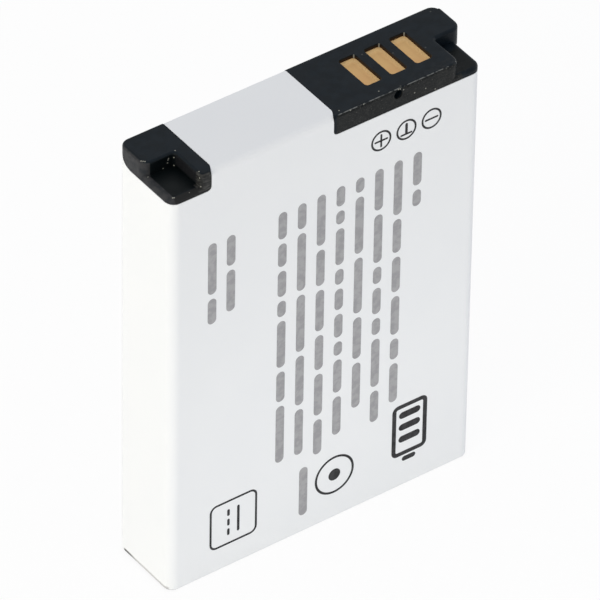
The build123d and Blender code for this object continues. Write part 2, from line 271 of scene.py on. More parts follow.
class BatterySigns(bpy.types.PropertyGroup):
    """Sizes and places of the plain pictograms at the foot of the front."""

    cell_place: position("Cell place", "Centre of the cell, along X and Z", 9.0, 6.2)
    cell_width: length("Cell width", "Width of the cell", 3.6)
    cell_height: length("Cell height", "Height of the cell", 5.6)
    cell_corner: length("Cell corner", "Corner radius of the cell", 0.6)
    cell_stroke: length("Cell stroke", "Line width of the cell", 0.42)
    terminal_width: length("Terminal width", "Length of the terminal", 1.4)
    terminal_stroke: length("Terminal stroke", "Line width of the terminal", 0.5)
    terminal_drop: length("Terminal drop", "From the cell down to the terminal's centre", 0.45)
    charge_bars: IntProperty(name="Charge bars", description="Number of bars in the cell", default=3, min=1)
    charge_width: length("Charge width", "Length of a charge bar", 2.2)
    charge_stroke: length("Charge stroke", "Line width of a charge bar", 0.7)
    charge_drop: length("Charge drop", "From the cell's top down to the first bar's centre", 1.2)
    charge_pitch: length("Charge pitch", "Distance between charge bars", 1.3)
    target_place: position("Target place", "Centre of the ring, along X and Z", 1.3, 4.75)
    target_diameter: length("Target diameter", "Outer diameter of the ring", 4.0)
    target_stroke: length("Target stroke", "Line width of the ring", 0.22)
    target_dot: length("Target dot", "Diameter of the dot in the ring", 1.2)
    current_place: position("Current place", "Centre of the direct-current sign, along X and Z", -9.0, 4.9)
    current_side: length("Current side", "Side of the square round the sign", 4.8)
    current_corner: length("Current corner", "Corner radius of the square", 0.7)
    current_frame: length("Current frame", "Line width of the square", 0.2)
    current_stroke: length("Current stroke", "Line width of the bar and the dashes", 0.25)
    current_shift: length("Current shift", "From the centre to the bar and to the dashes", 0.5)
    current_bar: length("Current bar", "Length of the bar", 2.8)
    current_dash: length("Current dash", "Length of a dash", 0.72)
    current_pitch: length("Current pitch", "Distance between dashes", 1.05)


class BatteryStage(bpy.types.PropertyGroup):
    """Light, floor and camera around the battery."""

    horizon: colour("Horizon", "Light from the sides", 0.757, 0.757, 0.757)
    zenith: colour("Zenith", "Light from above", 0.665, 0.68, 0.735)
    key: watts("Key", "Key softbox on the left", 3.68)
    key_tint: colour("Key tint", "Colour of the softboxes on the left", 1.0, 0.94, 0.80)
    key_way: direction("Key direction", "Towards the key softbox", -0.902, -0.310, 0.303)
    rim: watts("Rim", "Softbox behind on the left", 0.85)
    rim_way: direction("Rim direction", "Towards the softbox behind", -0.6, 0.75, 0.28)
    fill: watts("Fill", "Softbox on the right", 0.8)
    fill_way: direction("Fill direction", "Towards the softbox on the right", 0.97, 0.0, 0.24)
    softbox_side: length("Softbox side", "Side of a square softbox", 600.0)
    softbox_distance: length("Softbox distance", "From the battery to a softbox", 900.0)
    strip: watts("Strip", "Low strip light in front", 0.002)
    strip_length: length("Strip length", "Length of the strip light", 60.0)
    strip_width: length("Strip width", "Width of the strip light", 8.0)
    strip_gap: length("Strip gap", "From the front of the film to the strip light", 35.0)
    strip_level: length("Strip level", "Height of the strip light", 5.0)
    floor: colour("Floor", "Pale floor", 0.95, 0.95, 0.95)
    floor_glow: factor("Floor whiteness", "Share of plain white in the floor that the camera sees", 0.9)
    floor_gap: length("Floor gap", "How far the floor lies below the battery", 0.02)
    lens: FloatProperty(name="Lens", description="Focal length", default=533.34, min=1, unit="CAMERA")
    camera_place: position("Camera place", "Place of the camera", -332.755, -451.592, 488.120)
    camera_turn: FloatVectorProperty(
        name="Camera turn", description="Turn of the camera about each axis", size=3, unit="ROTATION",
        default=tuple(math.radians(degrees) for degrees in (50.2529, -0.7340, -35.7900)), subtype="EULER"
    )


def rgba(linear):
    """A linear colour with full alpha, for a colour socket."""
    return (*linear, 1.0)


def toned(linear, share):
    """A linear colour made lighter or darker."""
    return [share * c for c in linear]


def in_metres(millimetres):
    """Sizes or places in metres, from millimetres."""
    return [c * MM for c in millimetres]


def feed(tree, socket, value):
    """Links another node's socket to this one, or sets its value."""
    if isinstance(value, bpy.types.NodeSocket):
        tree.links.new(value, socket)
    else:
        socket.default_value = value


def add_node(tree, kind, **values):
    """New node, with values or links for its named inputs."""
    node = tree.nodes.new(kind)
    for name, value in values.items():
        feed(tree, node.inputs[name.replace("_", " ")], value)
    return node


def mix_colours(tree, share, first, second):
    """Colour between two others."""
    node = tree.nodes.new("ShaderNodeMix")
    node.data_type = "RGBA"
    feed(tree, node.inputs["Factor"], share)
    colour_inputs = [s for s in node.inputs if s.type == "RGBA"]
    feed(tree, colour_inputs[0], first)
    feed(tree, colour_inputs[1], second)
    return next(s for s in node.outputs if s.type == "RGBA")


def mix_shaders(tree, share, first, second):
    """Shader between two others."""
    node = tree.nodes.new("ShaderNodeMixShader")
    for socket, value in zip(node.inputs, (share, first, second)):
        feed(tree, socket, value)
    return node.outputs[0]


def compute(tree, operation, first, second):
    """One step of arithmetic."""
    node = tree.nodes.new("ShaderNodeMath")
    node.operation = operation
    feed(tree, node.inputs[0], first)
    feed(tree, node.inputs[1], second)
    return node.outputs[0]


def product(tree, first, *others):
    """Values multiplied together."""
    for other in others:
        first = compute(tree, "MULTIPLY", first, other)
    return first


def any_of(tree, masks):
    """The strongest of several masks."""
    strongest = masks[0]
    for mask in masks[1:]:
        strongest = compute(tree, "MAXIMUM", strongest, mask)
    return strongest


def spread(tree, value, low, high, to_low=0.0, to_high=1.0):
    """Smooth step of a value from one range to another."""
    node = tree.nodes.new("ShaderNodeMapRange")
    node.interpolation_type = "SMOOTHSTEP"
    for name, number in (
        ("Value", value), ("From Min", low), ("From Max", high), ("To Min", to_low), ("To Max", to_high)
    ):
        feed(tree, node.inputs[name], number)
    return node.outputs["Result"]


def coordinates(tree, kind="Object"):
    """One kind of texture coordinates."""
    return tree.nodes.new("ShaderNodeTexCoord").outputs[kind]


def axes(tree, vector):
    """The X, Y and Z of a vector."""
    return add_node(tree, "ShaderNodeSeparateXYZ", Vector=vector).outputs


def place_over(tree, size):
    """Places on the piece, counted in features of the given size."""
    node = tree.nodes.new("ShaderNodeVectorMath")
    node.operation = "DIVIDE"
    feed(tree, node.inputs[0], coordinates(tree))
    feed(tree, node.inputs[1], size)
    return node.outputs[0]


def noise(tree, size, detail):
    """Noise with features of the given size."""
    places = place_over(tree, size)
    return add_node(tree, "ShaderNodeTexNoise", Vector=places, Scale=1.0, Detail=detail).outputs[0]


def blotches(tree, size, detail, low, high, least=0.0):
    """Mask of uneven blotches of a size in millimetres, where the noise passes from low to high."""
    return spread(tree, noise(tree, in_metres(size), detail), low, high, least)


def band(tree, value, low, high, soft):
    """One between two limits, falling to nought over a soft edge."""
    rise = spread(tree, value, low - soft, low)
    fall = spread(tree, value, high, high + soft, 1.0, 0.0)
    return product(tree, rise, fall)


def box_mask(tree, low, high, soft):
    """Mask of what lies in a box, with a soft edge."""
    split = axes(tree, coordinates(tree))
    return product(tree, *[band(tree, split[i], low[i], high[i], soft) for i in range(3)])


def millimetre_box(tree, corners, soft):
    """Mask of a box whose two corners and soft edge are in millimetres."""
    low, high = [in_metres(corner) for corner in corners]
    return box_mask(tree, low, high, soft * MM)


def spot_mask(tree, places, radius):
    """Mask of small round spots at places in millimetres."""
    here = coordinates(tree)
    spots = []
    for place in places:
        distance = tree.nodes.new("ShaderNodeVectorMath")
        distance.operation = "DISTANCE"
        feed(tree, distance.inputs[0], here)
        feed(tree, distance.inputs[1], in_metres(place))
        spots.append(spread(tree, distance.outputs["Value"], SPOT_CORE * radius, radius, 1.0, 0.0))
    return any_of(tree, spots)


def new_group(name, inputs, outputs):
    """Empty shader node group with its sockets, and its input and output nodes."""
    tree = bpy.data.node_groups.new(name, "ShaderNodeTree")
    for label, kind, value in inputs:
        socket = tree.interface.new_socket(label, in_out="INPUT", socket_type=kind)
        socket.default_value = value
    for label, kind in outputs:
        tree.interface.new_socket(label, in_out="OUTPUT", socket_type=kind)
    return tree, tree.nodes.new("NodeGroupInput"), tree.nodes.new("NodeGroupOutput")


def grain_group():
    """Fine moulded grain, and broader patches that are a little more or less shiny."""
    tree, given, result = new_group(
        "Moulded grain",
        [("Grain", "NodeSocketFloat", 0.1 * MM), ("Patch", "NodeSocketFloat", 1.0 * MM)],
        [("Height", "NodeSocketFloat"), ("Patches", "NodeSocketFloat")],
    )
    fine = noise(tree, given.outputs["Grain"], detail=2.0)
    broad = noise(tree, given.outputs["Patch"], detail=4.0)
    feed(tree, result.inputs["Height"], fine)
    feed(tree, result.inputs["Patches"], spread(tree, broad, low=0.3, high=0.7))
    return tree


def edge_group():
    """Rounded upper edges, broken here and there where they turn up to the top: worn by rubbing, and painted
    lighter as a highlight.
    """
    tree, given, result = new_group(
        "Rubbed and highlit edges",
        [("Break", "NodeSocketFloat", 0.6 * MM)],
        [("Mask", "NodeSocketFloat")],
    )
    upward = axes(tree, coordinates(tree, "Normal"))["Z"]
    rounding = band(tree, upward, low=0.78, high=0.91, soft=0.05)
    rubbed_and_highlit = spread(tree, noise(tree, given.outputs["Break"], detail=4.0), low=0.36, high=0.58)
    feed(tree, result.inputs["Mask"], product(tree, rounding, rubbed_and_highlit))
    return tree


def dust_group():
    """Sparse specks, each a small round dot in a cell of its own."""
    tree, given, result = new_group(
        "Dust specks",
        [("Spacing", "NodeSocketFloat", 0.7 * MM), ("Speck", "NodeSocketFloat", 0.1)],
        [("Mask", "NodeSocketFloat")],
    )
    empty_share = 0.72
    places = place_over(tree, given.outputs["Spacing"])
    cells = add_node(tree, "ShaderNodeTexVoronoi", Vector=places, Scale=1.0)
    chance = add_node(tree, "ShaderNodeSeparateColor", Color=cells.outputs["Color"]).outputs[0]
    chosen = compute(tree, "GREATER_THAN", chance, empty_share)
    near = compute(tree, "LESS_THAN", cells.outputs["Distance"], given.outputs["Speck"])
    feed(tree, result.inputs["Mask"], product(tree, chosen, near))
    return tree


def line_group():
    """Fine parallel lines, as drawn or brushed metal has, along the axis with the longest size."""
    tree, given, result = new_group(
        "Drawn lines",
        [("Size", "NodeSocketVector", (0.05 * MM, 2.0 * MM, 0.05 * MM))],
        [("Height", "NodeSocketFloat")],
    )
    feed(tree, result.inputs["Height"], noise(tree, given.outputs["Size"], detail=3.0))
    return tree


def drift_group():
    """Slow drift between two near colours."""
    tree, given, result = new_group(
        "Colour drift",
        [
            ("First", "NodeSocketColor", rgba(WHITE)),
            ("Second", "NodeSocketColor", rgba(WHITE)),
            ("Patch", "NodeSocketFloat", 5.0 * MM),
        ],
        [("Colour", "NodeSocketColor")],
    )
    share = spread(tree, noise(tree, given.outputs["Patch"], detail=2.0), low=0.35, high=0.65)
    mixed = mix_colours(tree, share, given.outputs["First"], given.outputs["Second"])
    feed(tree, result.inputs["Colour"], mixed)
    return tree


GROUP_MAKERS = {
    "Moulded grain": grain_group,
    "Rubbed and highlit edges": edge_group,
    "Dust specks": dust_group,
    "Drawn lines": line_group,
    "Colour drift": drift_group,
}


def use_group(tree, name, **values):
    """Places a shared node group, which is built the first time it is asked for."""
    node = tree.nodes.new("ShaderNodeGroup")
    node.node_tree = bpy.data.node_groups.get(name) or GROUP_MAKERS[name]()
    for label, value in values.items():
        feed(tree, node.inputs[label], value)
    return node.outputs


def blank_material(name):
    """Material with nothing but its output."""
    material = bpy.data.materials.new(name)
    material.use_nodes = True
    tree = material.node_tree
    tree.nodes.clear()
    surface = tree.nodes.new("ShaderNodeOutputMaterial").inputs["Surface"]
    return material, tree, surface


def new_material(name, **plain):
    """Material with a Principled shader and its plain values."""
    material, tree, surface = blank_material(name)
    shader = add_node(tree, "ShaderNodeBsdfPrincipled", **plain)
    feed(tree, surface, shader.outputs[0])
    return material, tree, shader


def paint(tree, shader, tint):
    """Base colour that changes over the surface."""
    feed(tree, shader.inputs["Base Color"], tint)


def drifting(tree, first, second, patch):
    """Colour that drifts between two near ones, in patches of a size in millimetres."""
    return use_group(tree, "Colour drift", First=rgba(first), Second=rgba(second), Patch=patch * MM)["Colour"]


def roughen(tree, shader, value, smooth, rough):
    """Roughness that follows a value from smooth to rough."""
    feed(tree, shader.inputs["Roughness"], spread(tree, value, 0.0, 1.0, smooth, rough))


def raise_surface(tree, shader, height, depth, strength=1.0):
    """Bump of a depth in millimetres on the shader's normal."""
    bump = add_node(tree, "ShaderNodeBump", Height=height, Distance=depth * MM, Strength=strength)
    feed(tree, shader.inputs["Normal"], bump.outputs[0])


def dress(material, *names):
    """Gives carried-over solids their finish."""
    for name in names:
        mesh = NODES[name].data
        mesh.materials.clear()
        mesh.materials.append(material)


def window_wall_reflection(tree):
    """Mask of the painted reflection of the gold on the walls of the contact windows, strongest beside the
    gold.
    """
    above = Vector((0.0, 0.0, REFLECTION_HEIGHT))
    boxes = [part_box(name) for name in CONTACTS]
    return any_of(tree, [box_mask(tree, low, high + above, REFLECTION_FADE) for low, high in boxes])


def window_glints(tree):
    """Mask of the painted highlight, a bright line in the far corner of each contact window."""
    setback = FLANGE + GLINT_SETBACK
    masks = []
    for name in CONTACTS:
        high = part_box(name)[1]
        x = high.x - setback
        y = high.y - setback
        foot = (x - GLINT_HALF, y - GLINT_HALF, high.z)
        head = (x + GLINT_HALF, y + GLINT_HALF, TOP - GLINT_SOFT)
        masks.append(box_mask(tree, foot, head, GLINT_SOFT))
    return any_of(tree, masks)


def case_material(finish, wear):
    """Black moulded plastic with fine grain, a front edge worn by rubbing and painted as a highlight, scuffs,
    dust and crumbs, painted shade on the notch floors, painted light on the faces towards the left and on the
    ledge rim, a painted reflection of the gold on the window walls and painted glints.
    """
    material, tree, shader = new_material(
        "case_black", Specular_IOR_Level=0.1, Specular_Tint=rgba(finish.case_gloss)
    )
    grain = use_group(tree, "Moulded grain", Grain=0.13 * MM, Patch=1.3 * MM)
    rubbed_and_highlit = use_group(tree, "Rubbed and highlit edges", Break=0.4 * MM)["Mask"]
    specks = use_group(tree, "Dust specks", Spacing=wear.speck_spacing, Speck=0.13)["Mask"]
    streaks = blotches(tree, (0.5, 0.5, 0.14), detail=4.0, low=0.42, high=0.68)
    mottle = blotches(tree, (0.55, 0.55, 0.55), detail=5.0, low=0.3, high=0.62, least=0.45)
    grime = blotches(tree, (0.1, 0.1, 0.1), detail=3.0, low=0.52, high=0.78)
    smears = blotches(tree, (0.38, 0.38, 0.38), detail=4.0, low=0.46, high=0.68)
    lip_front, post_front, lit_post_wall, rim_highlight = [
        millimetre_box(tree, corners, soft=0.1) for corners in (LIP_FRONT, POST_FRONT, POST_WALL, FRONT_RIM)
    ]
    lit_and_handled = [millimetre_box(tree, corners, soft=0.1) for corners in (LEFT_SIDE, LEFT_RIM, LEFT_CORNER)]
    floors = [millimetre_box(tree, corners, soft=0.2) for corners in (LEFT_FLOOR, RIGHT_FLOOR)]
    lip_scuff = product(tree, millimetre_box(tree, LIP_SCUFF, soft=1.5), wear.scuffs)
    faint = spot_mask(tree, FAINT_CRUMBS, wear.faint_crumb)
    crumbs = spot_mask(tree, NOTCH_CRUMBS_AND_GLINTS + POST_CRUMBS + LIP_CRUMBS, wear.crumb)
    layers = (
        # Painted shade on the notch floors
        (any_of(tree, floors), finish.case_floor_shade),
        # Lighter post front, and a painted highlight on the front rim of the ledge
        (any_of(tree, (post_front, rim_highlight)), finish.case_post_and_rim_highlight),
        # Painted light on the wall of the left notch
        (lit_post_wall, finish.case_notch_light),
        # Painted light on the faces towards the left, with a mottle of handling wear
        (product(tree, any_of(tree, lit_and_handled), mottle), finish.case_side_light_and_scuffs),
        (lip_front, finish.case_lip),
        (product(tree, smears, lip_front, wear.smears), finish.case_scuffed),
        # Painted reflection of the gold on the window walls
        (window_wall_reflection(tree), finish.case_gold_reflection),
        (product(tree, streaks, any_of(tree, (post_front, lip_scuff))), finish.case_scuffed),
        # Front edge of the lip, worn by rubbing and painted lighter as a highlight
        (product(tree, rubbed_and_highlit, millimetre_box(tree, LIP_EDGE, soft=0.25)), finish.case_worn_and_highlit),
        (product(tree, faint, wear.faint), finish.dust),
        (product(tree, grime, lip_front, wear.grime), finish.dust),
        (product(tree, specks, lip_front, wear.specks), finish.dust),
        # Crumbs, with painted glints among those by the left notch, and a painted highlight in the far corner
        # of each window
        (any_of(tree, (crumbs, window_glints(tree))), finish.dust),
    )
    painted = drifting(tree, finish.case, toned(finish.case, 1.4), patch=0.8)
    for mask, tint in layers:
        painted = mix_colours(tree, mask, painted, rgba(tint))
    paint(tree, shader, painted)
    roughen(tree, shader, grain["Patches"], smooth=0.36, rough=0.48)
    raise_surface(tree, shader, grain["Height"], depth=0.010, strength=0.5)
    return material


def film_material(finish):
    """Satin white film with a faint orange peel, and a painted contact shadow along the foot of the left
    side.
    """
    material, tree, shader = new_material("label_white", Specular_IOR_Level=0.2)
    grain = use_group(tree, "Moulded grain", Grain=0.45 * MM, Patch=6.0 * MM)
    # Painted contact shadow along the foot of the left side, darkest at its far end
    foot = millimetre_box(tree, FOOT, soft=0.15)
    foot_end_shadow = product(tree, foot, millimetre_box(tree, FOOT_END, soft=1.4))
    clean = drifting(tree, finish.film, finish.film_cool, patch=9.0)
    shadowed = mix_colours(tree, foot, clean, rgba(finish.film_foot_shadow))
    paint(tree, shader, mix_colours(tree, foot_end_shadow, shadowed, rgba(finish.film_foot_shadow_dark)))
    roughen(tree, shader, grain["Patches"], smooth=0.5, rough=0.58)
    raise_surface(tree, shader, grain["Height"], depth=0.002)
    return material


def ink_material(name, full, thin):
    """Printed ink, a little thinner in places."""
    material, tree, shader = new_material(name, Specular_IOR_Level=0.2)
    grain = use_group(tree, "Moulded grain", Grain=0.2 * MM, Patch=1.5 * MM)
    paint(tree, shader, drifting(tree, full, thin, patch=0.5))
    roughen(tree, shader, grain["Patches"], smooth=0.4, rough=0.55)
    raise_surface(tree, shader, grain["Height"], depth=0.001)
    return material


def dark_ink(finish):
    """The dark ink that the marks and the pictograms share."""
    return bpy.data.materials.get("label_ink") or ink_material("label_ink", finish.ink, finish.ink_thin)


def gold_material(finish):
    """Satin gold plating with faint wipe lines along the contact; less metallic along its far edges, which
    are painted lighter against the shade of the window walls.
    """
    material, tree, shader = new_material("contact_gold")
    lines = use_group(tree, "Drawn lines", Size=in_metres((0.06, 1.6, 0.06)))["Height"]
    inset = Vector((FLANGE + DULL_X, FLANGE + DULL_Y, 0.0))
    boxes = [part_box(name) for name in CONTACTS]
    away_from_walls = any_of(tree, [box_mask(tree, low, high - inset, DULL_FADE) for low, high in boxes])
    plating = drifting(tree, finish.gold, finish.gold_rosy, patch=2.2)
    # Far edges painted lighter against the shade of the window walls, and less metallic
    paint(tree, shader, mix_colours(tree, away_from_walls, rgba(finish.gold_edge_light), plating))
    feed(tree, shader.inputs["Metallic"], spread(tree, away_from_walls, 0.0, 1.0, to_low=0.1))
    roughen(tree, shader, lines, smooth=0.52, rough=0.66)
    raise_surface(tree, shader, lines, depth=0.003, strength=0.5)
    return material


def metal_material(name, tint, size):
    """Bare metal with drawn lines of a size in millimetres."""
    material, tree, shader = new_material(name, Metallic=1.0)
    lines = use_group(tree, "Drawn lines", Size=in_metres(size))["Height"]
    paint(tree, shader, drifting(tree, tint, toned(tint, 0.9), patch=4.0))
    roughen(tree, shader, lines, smooth=0.28, rough=0.5)
    raise_surface(tree, shader, lines, depth=0.006, strength=0.6)
    return material


def moulded_material(name, tint, size, depth, roughness):
    """Plain moulded, pressed or fired piece, with grain of a size and depth in millimetres."""
    material, tree, shader = new_material(name, Specular_IOR_Level=0.4)
    grain = use_group(tree, "Moulded grain", Grain=size * MM, Patch=8 * size * MM)
    paint(tree, shader, drifting(tree, tint, toned(tint, 0.82), patch=4 * size))
    roughen(tree, shader, grain["Patches"], smooth=roughness - 0.08, rough=roughness + 0.08)
    raise_surface(tree, shader, grain["Height"], depth)
    return material


def board_material(finish):
    """Green solder mask, raised and paler over the copper tracks."""
    material, tree, shader = new_material("board_green", Specular_IOR_Level=0.5)
    grain = use_group(tree, "Moulded grain", Grain=0.2 * MM, Patch=2.0 * MM)
    places = place_over(tree, in_metres((3.2, 3.2, 3.2)))
    bricks = add_node(
        tree, "ShaderNodeTexBrick", Vector=places, Scale=1.0, Brick_Width=0.9, Row_Height=0.3,
        Mortar_Size=0.05, Mortar_Smooth=0.2
    )
    tracks = bricks.outputs["Fac"]
    paint(tree, shader, mix_colours(tree, tracks, rgba(finish.board), rgba(finish.board_track)))
    roughen(tree, shader, grain["Patches"], smooth=0.25, rough=0.38)
    raise_surface(tree, shader, tracks, depth=0.03)
    return material


def new_piece(name, form, material):
    """Turns a finished bmesh into a printed piece that rides on the battery."""
    bmesh.ops.recalc_face_normals(form, faces=form.faces)
    mesh = bpy.data.meshes.new(name)
    form.to_mesh(mesh)
    form.free()
    piece = bpy.data.objects.new(name, mesh)
    bpy.context.scene.collection.objects.link(piece)
    mesh.materials.append(material)
    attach(piece, "root")


def print_area(form, outline, ink_height):
    """Printed area with a closed outline of X and Z places on the front of the film."""
    proud = [form.verts.new((x, FRONT - ink_height, z)) for x, z in outline]
    sunk = [form.verts.new((x, FRONT + ink_height, z)) for x, z in outline]
    form.faces.new(proud)
    form.faces.new(sunk[::-1])
    for i in range(len(outline)):
        form.faces.new((proud[i - 1], sunk[i - 1], sunk[i], proud[i]))


def print_band(form, outer, inner, ink_height):
    """Printed band between two closed outlines with the same number of places."""
    loops = [
        [form.verts.new((x, y, z)) for x, z in outline]
        for y, outline in (
            (FRONT - ink_height, outer), (FRONT - ink_height, inner),
            (FRONT + ink_height, inner), (FRONT + ink_height, outer),
        )
    ]
    for first, second in zip(loops, loops[1:] + loops[:1]):
        for i in range(len(outer)):
            form.faces.new((first[i - 1], first[i], second[i], second[i - 1]))


def arc(centre, radius, start, end, steps):
    """Places along a circular arc, with its angles in degrees."""
    turn = (end - start) / steps
    return [
        (
            centre[0] + radius * math.cos(math.radians(start + turn * i)),
            centre[1] + radius * math.sin(math.radians(start + turn * i)),
        )
        for i in range(steps + 1)
    ]


def circle(centre, diameter):
    """Closed circle."""
    return arc(centre, diameter / 2, 0, 360, CIRCLE_STEPS)[:-1]


def rounded_box(centre, width, height, radius):
    """Closed rectangle with round corners."""
    outline = []
    for quarter, (sx, sz) in enumerate(((1, 1), (-1, 1), (-1, -1), (1, -1))):
        corner = (centre[0] + sx * (width / 2 - radius), centre[1] + sz * (height / 2 - radius))
        outline += arc(corner, radius, 90 * quarter, 90 * quarter + 90, CORNER_STEPS)
    return outline


def print_ring(form, centre, diameter, stroke, ink_height):
    """Printed ring, measured over its outside."""
    print_band(form, circle(centre, diameter), circle(centre, diameter - 2 * stroke), ink_height)


def print_frame(form, centre, width, height, radius, stroke, ink_height):
    """Printed outline of a rounded rectangle, measured over its outside."""
    inner = rounded_box(centre, width - 2 * stroke, height - 2 * stroke, radius - stroke)
    print_band(form, rounded_box(centre, width, height, radius), inner, ink_height)


def print_stroke(form, start, end, width, ink_height):
    """Straight printed line with round ends that reach its two places."""
    run = Vector(end) - Vector(start)
    angle = math.degrees(math.atan2(run.y, run.x))
    inset = run.normalized() * (width / 2)
    far_end = arc(Vector(end) - inset, width / 2, angle - 90, angle + 90, END_STEPS)
    near_end = arc(Vector(start) + inset, width / 2, angle + 90, angle + 270, END_STEPS)
    print_area(form, far_end + near_end, ink_height)


def print_level(form, centre, reach, width, ink_height):
    """Level printed line, given by its centre and its length."""
    x, z = centre
    print_stroke(form, (x - reach / 2, z), (x + reach / 2, z), width, ink_height)


def print_upright(form, centre, reach, width, ink_height):
    """Upright printed line, given by its centre and its length."""
    x, z = centre
    print_stroke(form, (x, z + reach / 2), (x, z - reach / 2), width, ink_height)


class BATTERY_OT_case(bpy.types.Operator):
    """Finish the black tub and its rear cover"""

    bl_idname = "battery.case"
    bl_label = "Case"

    def execute(self, context):
        material = case_material(context.scene.battery_finish, context.scene.battery_wear)
        dress(material, "case_body", "rear_cover")
        return {"FINISHED"}


class BATTERY_OT_film(bpy.types.Operator):
    """Finish the white wrap label"""

    bl_idname = "battery.film"
    bl_label = "Film"

    def execute(self, context):
        dress(film_material(context.scene.battery_finish), "wrap_label")
        return {"FINISHED"}


class BATTERY_OT_contacts(bpy.types.Operator):
    """Plate the three contacts"""

    bl_idname = "battery.contacts"
    bl_label = "Contacts"

    def execute(self, context):
        dress(gold_material(context.scene.battery_finish), *CONTACTS)
        return {"FINISHED"}


class BATTERY_OT_cell(bpy.types.Operator):
    """Finish the cell, its gasket and what lies against it"""

    bl_idname = "battery.cell"
    bl_label = "Cell"

    def execute(self, context):
        finish = context.scene.battery_finish
        aluminium = metal_material("cell_aluminium", finish.aluminium, size=(0.08, 0.08, 5.0))
        gasket = moulded_material("gasket_plastic", finish.gasket, size=0.1, depth=0.004, roughness=0.5)
        fibre = moulded_material("fibre_sheet", finish.fibre, size=0.15, depth=0.02, roughness=0.75)
        foam = moulded_material("foam_grey", finish.foam, size=0.25, depth=0.08, roughness=0.9)
        tape = moulded_material("tape_clear", finish.tape, size=0.6, depth=0.004, roughness=0.3)
        dress(aluminium, "battery_cell")
        dress(gasket, "terminal_gasket")
        dress(fibre, "lid_insulator")
        dress(foam, "bottom_pad")
        dress(tape, "front_tape", "rear_tape")
        return {"FINISHED"}


class BATTERY_OT_board(bpy.types.Operator):
    """Finish the board, its holder, its components, the strips and the terminal"""

    bl_idname = "battery.board"
    bl_label = "Board"

    def execute(self, context):
        finish = context.scene.battery_finish
        holder = moulded_material("holder_plastic", finish.holder, size=0.12, depth=0.006, roughness=0.5)
        fuse = moulded_material("fuse_plastic", finish.epoxy, size=0.1, depth=0.004, roughness=0.4)
        epoxy = moulded_material("chip_black", finish.epoxy, size=0.07, depth=0.006, roughness=0.6)
        ceramic = moulded_material("ceramic_tan", finish.ceramic, size=0.08, depth=0.005, roughness=0.55)
        nickel = metal_material("strap_nickel", finish.nickel, size=(2.0, 0.05, 0.05))
        dress(board_material(finish), "protection_board")
        dress(holder, "board_holder")
        dress(fuse, "thermal_fuse")
        dress(epoxy, "protection_chip", "switch_chip", "sense_resistor", "gate_resistor")
        dress(ceramic, "filter_capacitor", "thermistor")
        dress(nickel, "plus_strap", "minus_strap", "fuse_tab", "terminal_rivet")
        return {"FINISHED"}


class BATTERY_OT_marks(bpy.types.Operator):
    """Print the terminal marks under the contacts"""

    bl_idname = "battery.marks"
    bl_label = "Terminal marks"

    def execute(self, context):
        sizes = context.scene.battery_print
        form = bmesh.new()
        for name in CONTACTS:
            low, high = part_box(name)
            x = (low.x + high.x) / 2 + sizes.mark_shift
            z = sizes.mark_level
            print_ring(form, (x, z), sizes.mark_diameter, sizes.mark_stroke, sizes.ink_height)
            for start, end, width in self.strokes(name, x, z, sizes):
                print_stroke(form, start, end, width, sizes.ink_height)
        new_piece("print_terminal_marks", form, dark_ink(context.scene.battery_finish))
        return {"FINISHED"}

    def strokes(self, name, x, z, sizes):
        """Start, end and width of each stroke inside a mark's ring."""
        reach = sizes.mark_reach
        foot_z = z - sizes.sense_drop
        level = ((x - reach, z), (x + reach, z), sizes.mark_stroke)
        upright = ((x, z - reach), (x, z + reach), sizes.mark_stroke)
        foot = ((x - sizes.sense_reach, foot_z), (x + sizes.sense_reach, foot_z), sizes.mark_stroke)
        stem = ((x, foot_z), (x, z + reach), sizes.sense_stroke)
        signs = {"contact_plus": (level, upright), "contact_sense": (foot, stem), "contact_minus": (level,)}
        return signs[name]


class BATTERY_OT_lines(bpy.types.Operator):
    """Print lines of plain word bars down the front"""

    bl_idname = "battery.lines"
    bl_label = "Word bars"

    def execute(self, context):
        sizes = context.scene.battery_print
        finish = context.scene.battery_finish
        chance = random.Random(sizes.seed)
        form = bmesh.new()
        lines = [(sizes.first_line - i * sizes.line_pitch, reach * MM) for i, reach in enumerate(LONG_LINES)]
        lines += [in_metres(line) for line in SHORT_LINES]
        for x, reach in lines:
            self.print_line(form, x, reach, chance, sizes)
        start, end = [in_metres(place) for place in LONE_BAR]
        print_stroke(form, start, end, sizes.bar_width, sizes.ink_height)
        new_piece("print_word_bars", form, ink_material("label_ink_grey", finish.tint, finish.tint_thin))
        return {"FINISHED"}

    def print_line(self, form, x, reach, chance, sizes):
        """One line of bars from the top down, filled to its reach."""
        done = 0.0
        while reach - done >= sizes.shortest_word:
            word = min(chance.uniform(sizes.shortest_word, sizes.longest_word), reach - done)
            if reach - done - word < sizes.word_gap + sizes.shortest_word:
                word = reach - done
            start = sizes.line_top - done
            print_stroke(form, (x, start), (x, start - word), sizes.bar_width, sizes.ink_height)
            done += word + sizes.word_gap


